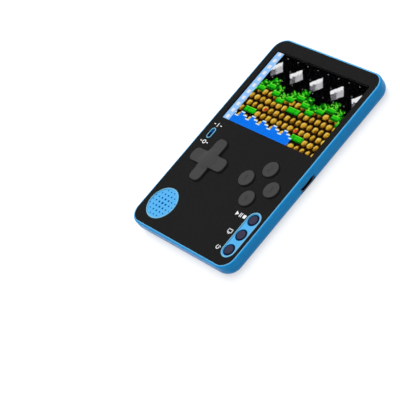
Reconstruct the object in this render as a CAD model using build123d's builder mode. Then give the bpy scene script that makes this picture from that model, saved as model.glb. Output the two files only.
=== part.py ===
from build123d import *
from itertools import product
from math import hypot
import os

os.makedirs("parts", exist_ok=True)

# Handheld game console lying on its back, screen end towards +Y, front face up.
# Origin: middle of the flat back face. All lengths in millimetres.

# Layout of the face, from which the housing takes its width and length
pad_inset_x = 14.11
pad_to_face = 28.15
face_inset_x = 14.64
screen_inset_x = 3.95
screen_inset_y = 6.2
screen_height = 32.0
pad_below_screen = 17.28
face_above_pad = 0.15
pad_to_speaker = 21.86
speaker_inset_x = 9.77
speaker_inset_y = 10.6

# Housing
body_height = 6.2
body_corner = 5.6
back_round = 3.0
front_round = 0.8
wall = 1.4
floor_thickness = 0.8
cover_thickness = 1.0
lip_width = 0.77
lip_height = 0.1
panel_thickness = 0.8

# Clearances: bonded pieces, loose pieces, buttons in their holes, cutter overrun
bond_gap = 0.04
loose_gap = 0.15
button_gap = 0.15
flange_gap = 0.05
thread_gap = 0.03
overrun = 1.0

# Islands of the housing that stand through the black panel
island_rise = 0.2
island_round = 0.15
rim_width = 0.45
rim_depth = 0.16

# Loudspeaker grille
grille_radius = 6.65
grille_pitch_x = 1.84
grille_pitch_y = 1.69
grille_hole_radius = 0.52
grille_reach = 5.8
grille_taper_share = 0.5

# Screen and display module
window_border = 0.35
window_thickness = 0.3
window_gap = 0.06
lcd_top_border = 0.2
lcd_border_side = 1.0
lcd_border_top = 1.1
lcd_border_bottom = 1.9
lcd_thickness = 2.0
lcd_wall = 0.5
lcd_glass_thickness = 1.2
gasket_thickness = 0.2
gasket_inset = 0.2
screen_corner = 0.4

# Direction pad
pad_half_length = 9.2
pad_half_width = 2.76
pad_end_radius = 2.1
pad_rise = 0.75
pad_edge_round = 0.25
pad_dome_radius = 4.9
pad_dome_rise = 0.8
pad_dome_cap_share = 0.8
pad_flange_drop = 0.5
pad_flange_margin = 0.55
pad_rubber_thickness = 0.12
pad_rubber_inset = 0.3
pad_pivot_radius = 2.0
pad_pivot_gap = 0.15
pad_pivot_seat_radius = 2.6

# Face buttons, in a diamond
face_spread_x = 6.78
face_spread_y = 6.57
face_radius = 3.22
face_rise = 0.65
face_edge_round = 0.25
face_flange_margin = 0.6
mark_height = 2.2
mark_stroke = 0.3
mark_depth = 0.08
# Plain numbers as pen strokes, in shares of their height from the middle of the button
mark_stroke_shares = {
    "left": [[(-0.2, 0.25), (0, 0.5), (0, -0.5)]],
    "top": [[(-0.3, 0.35), (-0.15, 0.5), (0.2, 0.5), (0.3, 0.2), (-0.3, -0.5), (0.3, -0.5)]],
    "right": [[(-0.3, 0.5), (0.3, 0.5), (-0.05, 0.12), (0.3, -0.15), (0.15, -0.5), (-0.3, -0.5)]],
    "bottom": [[(-0.15, 0.5), (-0.3, -0.15), (0.35, -0.15)], [(0.15, 0.2), (0.15, -0.5)]],
}

# Menu buttons, in a row on their island
menu_inset_x = 5.46
menu_inset_y = 7.27
menu_pitch = 6.5
menu_radius = 1.76
menu_gap = 0.6
menu_ring_width = 0.78
menu_rise = 0.25
menu_edge_round = 0.25
menu_flange_margin = 0.9

# Button flanges and rubber keys
flange_thickness = 0.35
button_travel = 0.5
key_radius = 1.9
key_foot_radius = 1.5
key_hole_gap = 0.35
menu_key_radius = 1.5
menu_key_foot_radius = 1.2
sheet_thickness = 0.4
sheet_margin = 1.2
sheet_end_radius = 2.8
menu_sheet_margin = 0.4

# Power switch
switch_inset_x = 5.23
switch_below_screen = 7.5
switch_ring_width = 0.36
switch_knob_half_width = 0.68
switch_knob_half_length = 1.0
switch_travel = 1.5
switch_end_gap = 0.25
switch_knob_drop = 0.12
switch_can_width = 3.4
switch_can_length = 6.4
switch_can_height = 1.3
switch_groove_depth = 0.6
switch_ridge_width = 0.22
switch_ridge_depth = 0.12
switch_ridge_count = 3
switch_ridge_pitch = 0.5

# Charging port in the right side
port_below_screen = 8.0
port_z = 2.35
port_width = 6.85
port_height = 2.1
port_depth = 5.2
port_wall = 0.25
port_cut = 0.8
port_setback = 0.75
port_tongue_width = 3.6
port_tongue_thickness = 0.45
port_tongue_length = 3.4
port_block_depth = 1.4

# Main board and what it carries
board_drop = 1.4
board_thickness = 0.8
board_margin = 0.5
board_corner = 1.0
board_gap_to_lcd = 0.6
speaker_clearance = 0.4
chip_width = 6.0
chip_length = 5.0
chip_height = 1.1
chip_x = 10.0
chip_inset_y = 5.85
blob_radius = 5.0
blob_height = 1.1
blob_x = 3.0
blob_inset_y = 16.85
crystal_radius = 0.55
crystal_length = 5.0
crystal_x = -4.5
crystal_inset_y = 12.85
socket_width = 14.0
socket_depth = 3.0
socket_height = 0.9
ribbon_width = 12.0
ribbon_thickness = 0.12
ribbon_tail = 5.0
plug_width = 4.0
plug_depth = 2.6
plug_height = 1.1
plug_x = -13.0

# Battery
battery_width = 42.0
battery_inset_y = 1.5
battery_thickness = 1.9
battery_round = 0.5
lead_radius = 0.3
lead_pitch = 1.2

# Loudspeaker
speaker_radius = 6.6
speaker_height = 2.4
speaker_rim_width = 0.9
speaker_cone_thickness = 0.25
speaker_cone_drop = 0.5
speaker_cap_radius = 2.6
mesh_thickness = 0.1
rib_width = 0.5
rib_height = 1.2

# Fasteners
boss_radius = 1.3
boss_inset_x = 4.8
boss_inset_y = 3.6
boss_bottom_x = 10.5
screw_radius = 0.6
screw_head_radius = 1.1
screw_head_height = 0.5
screw_length = 3.0
screw_sink = 0.1
cross_width = 0.28
cross_length = 1.2
cross_depth = 0.35
board_boss_radius = 1.4
board_screw_radius = 0.55
board_screw_head_radius = 1.1
board_screw_head_height = 0.55
board_screw_bite = 1.1
board_screw_inset_top = 6.8
board_screw_inset_bottom = 2.9
board_screw_left = 6.0
board_screw_right = 15.5

# Cover tongue
tongue_height = 0.8
tongue_width = 0.7

# Sizes, places and levels that follow from the sizes above
body_width = pad_inset_x + pad_to_face + face_inset_x
body_length = screen_inset_y + screen_height + pad_below_screen + pad_to_speaker + speaker_inset_y
screen_width = body_width - 2 * screen_inset_x
screen_y = body_length / 2 - screen_inset_y - screen_height / 2
screen_base = screen_y - screen_height / 2
pad_x = pad_inset_x - body_width / 2
pad_y = screen_base - pad_below_screen
face_x = body_width / 2 - face_inset_x
face_y = pad_y + face_above_pad
speaker_x = speaker_inset_x - body_width / 2
speaker_y = pad_y - pad_to_speaker
menu_x = body_width / 2 - menu_inset_x
menu_y = menu_pitch + menu_inset_y - body_length / 2
lcd_width = screen_width + 2 * lcd_border_side
lcd_height = screen_height + lcd_border_top + lcd_border_bottom
battery_length = lcd_height - 2 * battery_inset_y
panel_top = body_height - lip_height
panel_base = panel_top - panel_thickness
floor_base = panel_base - floor_thickness
island_top = panel_top + island_rise
board_top = floor_base - board_drop
board_base = board_top - board_thickness
flange_top = floor_base - flange_gap
flange_base = flange_top - flange_thickness
pad_flange_top = floor_base - pad_flange_drop
pad_flange_base = pad_flange_top - flange_thickness
lcd_top = panel_base - gasket_thickness
lcd_base = lcd_top - lcd_thickness
lcd_y = screen_y + (lcd_border_top - lcd_border_bottom) / 2
panel_width = body_width - 2 * lip_width
panel_length = body_length - 2 * lip_width
panel_corner = body_corner - lip_width
inner_width = body_width - 2 * wall
inner_length = body_length - 2 * wall
inner_corner = body_corner - wall
boss_y = body_length / 2 - boss_inset_y
board_north = lcd_y - lcd_height / 2 - board_gap_to_lcd
board_south = -boss_y + boss_radius + loose_gap
board_width = inner_width - 2 * board_margin
chip_y = board_south + chip_inset_y
blob_y = board_south + blob_inset_y
crystal_y = board_south + crystal_inset_y
port_mouth = body_width / 2 - port_setback
port_y = screen_base - port_below_screen
menu_hole_radius = menu_radius + menu_gap
menu_island_radius = menu_hole_radius + menu_ring_width
menu_island_half = menu_pitch + menu_island_radius
switch_x = switch_inset_x - body_width / 2
switch_y = screen_base - switch_below_screen
switch_slot_radius = switch_knob_half_width + button_gap
switch_slot_half_length = switch_knob_half_length + switch_travel / 2 + switch_end_gap
switch_ring_radius = switch_slot_radius + switch_ring_width
switch_ring_half_length = switch_slot_half_length + switch_ring_width
face_hole_radius = face_radius + button_gap
pad_hole_half_length = pad_half_length + button_gap
pad_hole_half_width = pad_half_width + button_gap

board_screw_places = [
    (0, board_north - board_screw_inset_top),
    (-board_screw_left, board_south + board_screw_inset_bottom),
    (board_screw_right, board_south + board_screw_inset_bottom),
]
face_places = {
    "left": (face_x - face_spread_x, face_y),
    "top": (face_x, face_y + face_spread_y),
    "right": (face_x + face_spread_x, face_y),
    "bottom": (face_x, face_y - face_spread_y),
}
menu_places = {
    "top": (menu_x, menu_y + menu_pitch),
    "middle": (menu_x, menu_y),
    "bottom": (menu_x, menu_y - menu_pitch),
}
boss_places = [
    (boss_inset_x - body_width / 2, boss_y),
    (body_width / 2 - boss_inset_x, boss_y),
    (-boss_bottom_x, -boss_y),
    (boss_bottom_x, -boss_y),
]


def save(piece, name):
    """Label a finished piece and write it to its own STEP file."""
    piece.part.label = name
    export_step(piece.part, f"parts/{name}.step")


def cross(half_length, half_width, end_radius):
    """Add two crossed bars with rounded ends to the sketch, centred on the pad."""
    with Locations((pad_x, pad_y)):
        RectangleRounded(2 * half_length, 2 * half_width, end_radius)
        RectangleRounded(2 * half_width, 2 * half_length, end_radius)


def stadium(x, y, half_length, radius):
    """Add an upright slot shape to the sketch."""
    with Locations((x, y)):
        SlotOverall(2 * half_length, 2 * radius, rotation=90)


def port_outline(margin):
    """Add the port's outline to the sketch, grown by a margin: flat on top, its lower corners cut."""
    half_width = port_width / 2 + margin
    half_height = port_height / 2 + margin
    with Locations((port_y, port_z)):
        Polygon((-half_width, half_height), (half_width, half_height), (half_width, port_cut - half_height),
                (half_width - port_cut, -half_height), (port_cut - half_width, -half_height),
                (-half_width, port_cut - half_height))


# Outer form of the housing, both halves in one
with BuildPart() as housing:
    with BuildSketch():
        RectangleRounded(body_width, body_length, body_corner)
    extrude(amount=body_height)
    fillet(housing.edges().group_by(Axis.Z)[0], back_round)
    fillet(housing.edges().group_by(Axis.Z)[-1], front_round)

# Front housing
with BuildPart() as front_shell:
    add(housing.part)
    split(bisect_by=Plane.XY.offset(cover_thickness), keep=Keep.TOP)
    with BuildSketch(Plane.XY.offset(panel_base)):
        RectangleRounded(panel_width, panel_length, panel_corner)
    extrude(amount=panel_thickness + overrun, mode=Mode.SUBTRACT)
    with BuildSketch(Plane.XY.offset(floor_base)):
        RectangleRounded(inner_width, inner_length, inner_corner)
    extrude(amount=-(floor_base - cover_thickness + overrun), mode=Mode.SUBTRACT)
    # Islands through the black panel
    with BuildSketch(Plane.XY.offset(panel_base)):
        with Locations((speaker_x, speaker_y)):
            Circle(grille_radius)
        stadium(menu_x, menu_y, menu_island_half, menu_island_radius)
        stadium(switch_x, switch_y, switch_ring_half_length, switch_ring_radius)
    extrude(amount=island_top - panel_base)
    fillet(front_shell.edges().group_by(Axis.Z)[-1], island_round)
    with BuildSketch(Plane.XY.offset(island_top)):
        with Locations((speaker_x, speaker_y)):
            Circle(grille_radius - rim_width)
        stadium(menu_x, menu_y, menu_island_half - rim_width, menu_island_radius - rim_width)
    extrude(amount=-rim_depth, mode=Mode.SUBTRACT)
    # Bosses for the cover screws and the board, and the ring round the loudspeaker
    with BuildSketch(Plane.XY.offset(cover_thickness)):
        with Locations(*boss_places):
            Circle(boss_radius)
    extrude(amount=floor_base - cover_thickness)
    with BuildSketch(Plane.XY.offset(board_top)):
        with Locations(*board_screw_places):
            Circle(board_boss_radius)
    extrude(amount=floor_base - board_top)
    rib_inner = speaker_radius + loose_gap
    with BuildSketch(Plane.XY.offset(floor_base - rib_height)):
        with Locations((speaker_x, speaker_y)):
            Circle(rib_inner + rib_width)
            Circle(rib_inner, mode=Mode.SUBTRACT)
    extrude(amount=rib_height)
    # Openings in the floor
    with BuildSketch(Plane.XY.offset(floor_base)):
        with Locations((0, lcd_y)):
            Rectangle(lcd_width + 2 * loose_gap, lcd_height + 2 * loose_gap)
        cross(pad_hole_half_length, pad_hole_half_width, pad_end_radius)
        with Locations(*face_places.values()):
            Circle(face_hole_radius)
        with Locations(*menu_places.values()):
            Circle(menu_hole_radius)
        stadium(switch_x, switch_y, switch_slot_half_length, switch_slot_radius)
    extrude(amount=island_top - floor_base + overrun, mode=Mode.SUBTRACT)
    # Grille holes, largest in the middle
    half_rows = int(grille_reach / grille_pitch_y)
    grille_steps = range(-half_rows, half_rows + 1)
    with BuildSketch(Plane.XY.offset(floor_base)):
        for column, row in product(grille_steps, grille_steps):
            x = column * grille_pitch_x
            y = row * grille_pitch_y
            if hypot(x, y) <= grille_reach:
                with Locations((speaker_x + x, speaker_y + y)):
                    Circle(grille_hole_radius * (1 - grille_taper_share * hypot(x, y) / grille_reach))
    extrude(amount=island_top - floor_base + overrun, mode=Mode.SUBTRACT)
    # Pilot holes for the cover screws and the board screws
    with BuildSketch(Plane.XY.offset(cover_thickness)):
        with Locations(*boss_places):
            Circle(screw_radius + thread_gap)
    extrude(amount=screw_length - cover_thickness + screw_sink + loose_gap, mode=Mode.SUBTRACT)
    with BuildSketch(Plane.XY.offset(board_top)):
        with Locations(*board_screw_places):
            Circle(board_screw_radius + thread_gap)
    extrude(amount=board_screw_bite + loose_gap, mode=Mode.SUBTRACT)
    # Cut-out for the charging port
    with BuildSketch(Plane.YZ.offset(inner_width / 2 - overrun)):
        port_outline(loose_gap)
    extrude(amount=wall + 2 * overrun, mode=Mode.SUBTRACT)
save(front_shell, "front_shell")

# Back cover with its tongue
tongue_outer_width = inner_width - 2 * bond_gap
tongue_outer_length = inner_length - 2 * bond_gap
tongue_corner = inner_corner - bond_gap
with BuildPart() as back_cover:
    add(housing.part)
    split(bisect_by=Plane.XY.offset(cover_thickness), keep=Keep.BOTTOM)
    with BuildSketch(Plane.XY.offset(cover_thickness)):
        RectangleRounded(tongue_outer_width, tongue_outer_length, tongue_corner)
        RectangleRounded(tongue_outer_width - 2 * tongue_width, tongue_outer_length - 2 * tongue_width,
                         tongue_corner - tongue_width, mode=Mode.SUBTRACT)
        with Locations(*boss_places):
            Circle(boss_radius + loose_gap, mode=Mode.SUBTRACT)
        with Locations((inner_width / 2, port_y)):
            Rectangle(2 * port_depth, port_width + 2 * tongue_width, mode=Mode.SUBTRACT)
    extrude(amount=tongue_height)
    with BuildSketch(Plane.XY.offset(-overrun)):
        with Locations(*boss_places):
            Circle(screw_radius + thread_gap)
    extrude(amount=cover_thickness + 2 * overrun, mode=Mode.SUBTRACT)
    for place in boss_places:
        with BuildSketch(Plane.XY.offset(screw_sink)):
            with Locations(place):
                Circle(screw_head_radius + thread_gap)
        extrude(amount=-(screw_sink + overrun), mode=Mode.SUBTRACT)
        with BuildSketch(Plane.XY.offset(screw_sink)):
            with Locations(place):
                Circle(screw_head_radius + thread_gap)
        with BuildSketch(Plane.XY.offset(screw_sink + screw_head_height)):
            with Locations(place):
                Circle(screw_radius + thread_gap)
        loft(mode=Mode.SUBTRACT)
save(back_cover, "back_cover")

# Black front panel
window_width = screen_width + 2 * window_border
window_height = screen_height + 2 * window_border
with BuildPart() as front_panel:
    with BuildSketch(Plane.XY.offset(panel_base)):
        RectangleRounded(panel_width - 2 * bond_gap, panel_length - 2 * bond_gap, panel_corner - bond_gap)
        with Locations((0, screen_y)):
            RectangleRounded(window_width + 2 * bond_gap, window_height + 2 * bond_gap,
                             screen_corner + bond_gap, mode=Mode.SUBTRACT)
        with Locations((speaker_x, speaker_y)):
            Circle(grille_radius + bond_gap, mode=Mode.SUBTRACT)
        with Locations((menu_x, menu_y)):
            SlotOverall(2 * (menu_island_half + bond_gap), 2 * (menu_island_radius + bond_gap),
                        rotation=90, mode=Mode.SUBTRACT)
        with Locations((switch_x, switch_y)):
            SlotOverall(2 * (switch_ring_half_length + bond_gap), 2 * (switch_ring_radius + bond_gap),
                        rotation=90, mode=Mode.SUBTRACT)
        with Locations(*face_places.values()):
            Circle(face_hole_radius, mode=Mode.SUBTRACT)
        with Locations((pad_x, pad_y)):
            RectangleRounded(2 * pad_hole_half_length, 2 * pad_hole_half_width, pad_end_radius,
                             mode=Mode.SUBTRACT)
            RectangleRounded(2 * pad_hole_half_width, 2 * pad_hole_half_length, pad_end_radius,
                             mode=Mode.SUBTRACT)
    extrude(amount=panel_thickness)
save(front_panel, "front_panel")

# Clear window over the screen, set flush into the panel
with BuildPart() as screen_window:
    with BuildSketch(Plane.XY.offset(panel_top - window_thickness)):
        with Locations((0, screen_y)):
            RectangleRounded(window_width, window_height, screen_corner)
    extrude(amount=window_thickness)
save(screen_window, "screen_window")

# Adhesive frame between the display and the panel
lcd_upper_width = screen_width + 2 * lcd_top_border
lcd_upper_height = screen_height + 2 * lcd_top_border
with BuildPart() as lcd_gasket:
    with BuildSketch(Plane.XY.offset(lcd_top)):
        with Locations((0, lcd_y)):
            Rectangle(lcd_width - 2 * gasket_inset, lcd_height - 2 * gasket_inset)
        with Locations((0, screen_y)):
            Rectangle(lcd_upper_width + 2 * bond_gap, lcd_upper_height + 2 * bond_gap, mode=Mode.SUBTRACT)
    extrude(amount=gasket_thickness)
save(lcd_gasket, "lcd_gasket")

# Display: backlight tray, and glass whose upper plate reaches up under the window
glass_width = lcd_width - 2 * lcd_wall
glass_height = lcd_height - 2 * lcd_wall
with BuildPart() as lcd_backlight:
    with BuildSketch(Plane.XY.offset(lcd_base)):
        with Locations((0, lcd_y)):
            Rectangle(lcd_width, lcd_height)
    extrude(amount=lcd_thickness)
    with BuildSketch(Plane.XY.offset(lcd_top)):
        with Locations((0, lcd_y)):
            Rectangle(glass_width, glass_height)
    extrude(amount=-lcd_glass_thickness, mode=Mode.SUBTRACT)
save(lcd_backlight, "lcd_backlight")

with BuildPart() as lcd_glass:
    with BuildSketch(Plane.XY.offset(lcd_top - lcd_glass_thickness)):
        with Locations((0, lcd_y)):
            Rectangle(glass_width - 2 * bond_gap, glass_height - 2 * bond_gap)
    extrude(amount=lcd_glass_thickness)
    with BuildSketch(Plane.XY.offset(lcd_top)):
        with Locations((0, screen_y)):
            Rectangle(lcd_upper_width, lcd_upper_height)
    extrude(amount=panel_top - window_thickness - window_gap - lcd_top)
save(lcd_glass, "lcd_glass")

# Direction pad: the cross, its domed middle, its flange and its rubber
pad_top = panel_top + pad_rise
pad_flange_half_length = pad_half_length + pad_flange_margin
pad_flange_half_width = pad_half_width + pad_flange_margin
with BuildPart() as pad_dome:
    with BuildSketch(Plane.XY.offset(pad_top - pad_edge_round)):
        cross(pad_half_length, pad_half_width, pad_end_radius)
    extrude(amount=pad_edge_round + pad_dome_rise)
    dome_bow = (pad_dome_radius ** 2 + pad_dome_rise ** 2) / (2 * pad_dome_rise)
    cap_edge = (pad_dome_radius * pad_dome_cap_share, pad_dome_rise * (1 - pad_dome_cap_share))
    with BuildSketch(Plane(origin=(pad_x, pad_y, pad_top), x_dir=(1, 0, 0), z_dir=(0, -1, 0))):
        with BuildLine():
            Line((0, -pad_edge_round), (0, pad_dome_rise))
            RadiusArc((0, pad_dome_rise), cap_edge, dome_bow * pad_dome_cap_share)
            RadiusArc(cap_edge, (pad_dome_radius, 0), -dome_bow * (1 - pad_dome_cap_share))
            Line((pad_dome_radius, 0), (pad_dome_radius, -pad_edge_round))
            Line((pad_dome_radius, -pad_edge_round), (0, -pad_edge_round))
        make_face()
    revolve(axis=Axis((pad_x, pad_y, 0), (0, 0, 1)), mode=Mode.INTERSECT)

with BuildPart() as d_pad:
    with BuildSketch(Plane.XY.offset(pad_flange_base)):
        cross(pad_half_length, pad_half_width, pad_end_radius)
    extrude(amount=pad_top - pad_flange_base)
    fillet(d_pad.edges().group_by(Axis.Z)[-1], pad_edge_round)
    with BuildSketch(Plane.XY.offset(pad_flange_base)):
        cross(pad_flange_half_length, pad_flange_half_width, pad_end_radius + pad_flange_margin)
    extrude(amount=flange_thickness)
    add(pad_dome.part)
save(d_pad, "d_pad")

with BuildPart() as d_pad_rubber:
    with BuildSketch(Plane.XY.offset(pad_flange_base - pad_rubber_thickness)):
        cross(pad_half_length - pad_rubber_inset, pad_half_width - pad_rubber_inset,
              pad_end_radius - pad_rubber_inset)
        with Locations((pad_x, pad_y)):
            Circle(pad_pivot_seat_radius + pad_flange_margin)
            Circle(pad_pivot_seat_radius, mode=Mode.SUBTRACT)
    extrude(amount=pad_rubber_thickness)
save(d_pad_rubber, "d_pad_rubber")

with BuildPart() as d_pad_pivot:
    with BuildSketch(Plane.XY.offset(board_top + pad_pivot_gap)):
        with Locations((pad_x, pad_y)):
            Circle(pad_pivot_radius)
    extrude(amount=pad_flange_base - board_top - 2 * pad_pivot_gap)
save(d_pad_pivot, "d_pad_pivot")

# Face buttons with a raised-edge flange below and a plain number cut in the top
key_base = board_top + flange_gap + button_travel
for name, place in face_places.items():
    with BuildPart() as face_button:
        with BuildSketch(Plane.XY.offset(flange_base)):
            with Locations(place):
                Circle(face_radius)
        extrude(amount=panel_top + face_rise - flange_base)
        fillet(face_button.edges().group_by(Axis.Z)[-1], face_edge_round)
        with BuildSketch(Plane.XY.offset(flange_base)):
            with Locations(place):
                Circle(face_hole_radius + face_flange_margin)
        extrude(amount=flange_thickness)
        with BuildSketch(Plane.XY.offset(panel_top + face_rise)):
            for stroke in mark_stroke_shares[name]:
                with BuildLine():
                    Polyline(*[(place[0] + x_share * mark_height, place[1] + y_share * mark_height)
                               for x_share, y_share in stroke])
                trace(line_width=mark_stroke)
        extrude(amount=-mark_depth, mode=Mode.SUBTRACT)
    save(face_button, f"face_button_{name}")

    with BuildPart() as face_key:
        with BuildSketch(Plane.XY.offset(key_base)):
            with Locations(place):
                Circle(key_foot_radius)
        with BuildSketch(Plane.XY.offset(flange_base)):
            with Locations(place):
                Circle(key_radius)
        loft()
    save(face_key, f"face_key_{name}")

# Rubber sheet under the face buttons
with BuildPart() as face_pad:
    sheet_half_width = key_radius + key_hole_gap + sheet_margin
    with BuildSketch(Plane.XY.offset(board_top)):
        with Locations((face_x, face_y)):
            RectangleRounded(2 * (face_spread_x + sheet_half_width), 2 * sheet_half_width, sheet_end_radius)
            RectangleRounded(2 * sheet_half_width, 2 * (face_spread_y + sheet_half_width), sheet_end_radius)
        with Locations(*face_places.values()):
            Circle(key_radius + key_hole_gap, mode=Mode.SUBTRACT)
    extrude(amount=sheet_thickness)
save(face_pad, "face_pad")

# Menu buttons and their rubber
for name, place in menu_places.items():
    with BuildPart() as menu_button:
        with BuildSketch(Plane.XY.offset(flange_base)):
            with Locations(place):
                Circle(menu_radius)
        extrude(amount=panel_top + menu_rise - flange_base)
        fillet(menu_button.edges().group_by(Axis.Z)[-1], menu_edge_round)
        with BuildSketch(Plane.XY.offset(flange_base)):
            with Locations(place):
                Circle(menu_radius + menu_flange_margin)
        extrude(amount=flange_thickness)
    save(menu_button, f"menu_button_{name}")

    with BuildPart() as menu_key:
        with BuildSketch(Plane.XY.offset(key_base)):
            with Locations(place):
                Circle(menu_key_foot_radius)
        with BuildSketch(Plane.XY.offset(flange_base)):
            with Locations(place):
                Circle(menu_key_radius)
        loft()
    save(menu_key, f"menu_key_{name}")

with BuildPart() as menu_pad:
    menu_sheet_radius = menu_key_radius + key_hole_gap + menu_sheet_margin
    with BuildSketch(Plane.XY.offset(board_top)):
        stadium(menu_x, menu_y, menu_island_half - menu_island_radius + menu_sheet_radius, menu_sheet_radius)
        with Locations(*menu_places.values()):
            Circle(menu_key_radius + key_hole_gap, mode=Mode.SUBTRACT)
    extrude(amount=sheet_thickness)
save(menu_pad, "menu_pad")

# Power switch: metal can on the board and the sliding knob
switch_can_top = board_top + switch_can_height
switch_rest_y = switch_y - switch_travel / 2
switch_groove_base = switch_can_top - switch_groove_depth
with BuildPart() as power_switch_body:
    with BuildSketch(Plane.XY.offset(board_top)):
        with Locations((switch_x, switch_y)):
            Rectangle(switch_can_width, switch_can_length)
    extrude(amount=switch_can_height)
    with BuildSketch(Plane.XY.offset(switch_groove_base)):
        stadium(switch_x, switch_y,
                switch_knob_half_length + switch_travel / 2 + loose_gap,
                switch_knob_half_width + button_gap)
    extrude(amount=switch_groove_depth + overrun, mode=Mode.SUBTRACT)
save(power_switch_body, "power_switch_body")

with BuildPart() as power_switch_knob:
    knob_top = island_top - switch_knob_drop
    with BuildSketch(Plane.XY.offset(switch_groove_base + flange_gap)):
        stadium(switch_x, switch_rest_y, switch_knob_half_length, switch_knob_half_width)
    extrude(amount=knob_top - switch_groove_base - flange_gap)
    with BuildSketch(Plane.XY.offset(knob_top)):
        with Locations((switch_x, switch_rest_y)):
            with GridLocations(0, switch_ridge_pitch, 1, switch_ridge_count):
                Rectangle(2 * switch_knob_half_width, switch_ridge_width)
    extrude(amount=-switch_ridge_depth, mode=Mode.SUBTRACT)
save(power_switch_knob, "power_switch_knob")

# Charging port: metal shell, and the plastic block with its contact tongue
port_plane = Plane.YZ.offset(port_mouth)
with BuildPart() as usb_connector:
    with BuildSketch(port_plane):
        port_outline(0)
    extrude(amount=-port_depth)
    with BuildSketch(port_plane):
        port_outline(-port_wall)
    extrude(amount=-port_depth, mode=Mode.SUBTRACT)
save(usb_connector, "usb_connector")

with BuildPart() as usb_insulator:
    with BuildSketch(Plane.YZ.offset(port_mouth - port_depth)):
        port_outline(-port_wall - bond_gap)
    extrude(amount=port_block_depth)
    with BuildSketch(Plane.YZ.offset(port_mouth - port_depth)):
        with Locations((port_y, port_z)):
            Rectangle(port_tongue_width, port_tongue_thickness)
    extrude(amount=port_block_depth + port_tongue_length)
save(usb_insulator, "usb_insulator")

# Main board: lower half of the housing, cut away for loudspeaker, port, bosses and screws
speaker_cut_radius = speaker_radius + loose_gap + rib_width + speaker_clearance
with BuildPart() as main_board:
    with BuildSketch(Plane.XY.offset(board_base)):
        with Locations((0, (board_north + board_south) / 2)):
            RectangleRounded(board_width, board_north - board_south, board_corner)
        with Locations((speaker_x, speaker_y)):
            Circle(speaker_cut_radius, mode=Mode.SUBTRACT)
            Rectangle(inner_width, inner_length, align=(Align.MAX, Align.MAX), mode=Mode.SUBTRACT)
        with Locations((speaker_x + speaker_cut_radius, speaker_y)):
            Rectangle(inner_width, inner_length, align=(Align.MAX, Align.MAX), mode=Mode.SUBTRACT)
        with Locations((port_mouth - port_depth - loose_gap, port_y)):
            Rectangle(inner_width, port_width + 2 * loose_gap, align=(Align.MIN, Align.CENTER),
                      mode=Mode.SUBTRACT)
        with Locations(*board_screw_places):
            Circle(board_screw_radius + loose_gap, mode=Mode.SUBTRACT)
    extrude(amount=board_thickness)
save(main_board, "main_board")

# Parts under the board
with BuildPart() as processor:
    blob_sphere = (blob_radius ** 2 + blob_height ** 2) / (2 * blob_height)
    with BuildSketch(Plane(origin=(blob_x, blob_y, board_base), x_dir=(1, 0, 0), z_dir=(0, -1, 0))):
        with BuildLine():
            Line((0, 0), (0, -blob_height))
            RadiusArc((0, -blob_height), (blob_radius, 0), -blob_sphere)
            Line((blob_radius, 0), (0, 0))
        make_face()
    revolve(axis=Axis((blob_x, blob_y, 0), (0, 0, 1)))
save(processor, "processor")

with BuildPart() as flash_memory:
    with BuildSketch(Plane.XY.offset(board_base)):
        with Locations((chip_x, chip_y)):
            Rectangle(chip_width, chip_length)
    extrude(amount=-chip_height)
save(flash_memory, "flash_memory")

with BuildPart() as crystal:
    with BuildSketch(Plane.XZ.offset(-crystal_y)):
        with Locations((crystal_x, board_base - crystal_radius)):
            Circle(crystal_radius)
    extrude(amount=crystal_length)
save(crystal, "crystal")

with BuildPart() as lcd_socket:
    with BuildSketch(Plane.XY.offset(board_base)):
        with Locations((0, board_north)):
            Rectangle(socket_width, socket_depth, align=(Align.CENTER, Align.MAX))
    extrude(amount=-socket_height)
save(lcd_socket, "lcd_socket")

# Flat ribbon from under the display, down past the board's edge, to its socket
ribbon_drop_y = board_north + board_gap_to_lcd / 2
ribbon_high = lcd_base - ribbon_thickness / 2
ribbon_low = board_base - socket_height / 2
ribbon_far_y = lcd_y - lcd_height / 2 + ribbon_tail
with BuildPart() as lcd_ribbon:
    with BuildSketch(Plane.YZ.offset(-ribbon_width / 2)):
        with BuildLine():
            Polyline((ribbon_far_y, ribbon_high), (ribbon_drop_y, ribbon_high),
                     (ribbon_drop_y, ribbon_low), (board_north + bond_gap, ribbon_low))
        trace(line_width=ribbon_thickness)
    extrude(amount=ribbon_width)
save(lcd_ribbon, "lcd_ribbon")

with BuildPart() as battery_socket:
    with BuildSketch(Plane.XY.offset(board_base)):
        with Locations((plug_x, board_north)):
            Rectangle(plug_width, plug_depth, align=(Align.CENTER, Align.MAX))
    extrude(amount=-plug_height)
save(battery_socket, "battery_socket")

# Battery behind the display, and its two leads
with BuildPart() as battery:
    with BuildSketch(Plane.XY.offset(cover_thickness)):
        with Locations((0, lcd_y)):
            RectangleRounded(battery_width, battery_length, 2 * battery_round)
    extrude(amount=battery_thickness)
    fillet(battery.edges().group_by(Axis.Z)[-1], battery_round)
save(battery, "battery")

battery_south = lcd_y - battery_length / 2
with BuildPart() as battery_leads:
    with BuildSketch(Plane.XZ.offset(-board_north)):
        with Locations((plug_x, board_base - plug_height / 2)):
            with GridLocations(lead_pitch, 0, 2, 1):
                Circle(lead_radius)
    extrude(amount=-(battery_south - board_north))
save(battery_leads, "battery_leads")

# Loudspeaker: basket, cone, dust mesh and leads
speaker_top = floor_base - mesh_thickness
speaker_base = speaker_top - speaker_height
cone_radius = speaker_radius - speaker_rim_width
with BuildPart() as speaker_mesh:
    with BuildSketch(Plane.XY.offset(speaker_top)):
        with Locations((speaker_x, speaker_y)):
            Circle(speaker_radius)
    extrude(amount=mesh_thickness)
save(speaker_mesh, "speaker_mesh")

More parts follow.
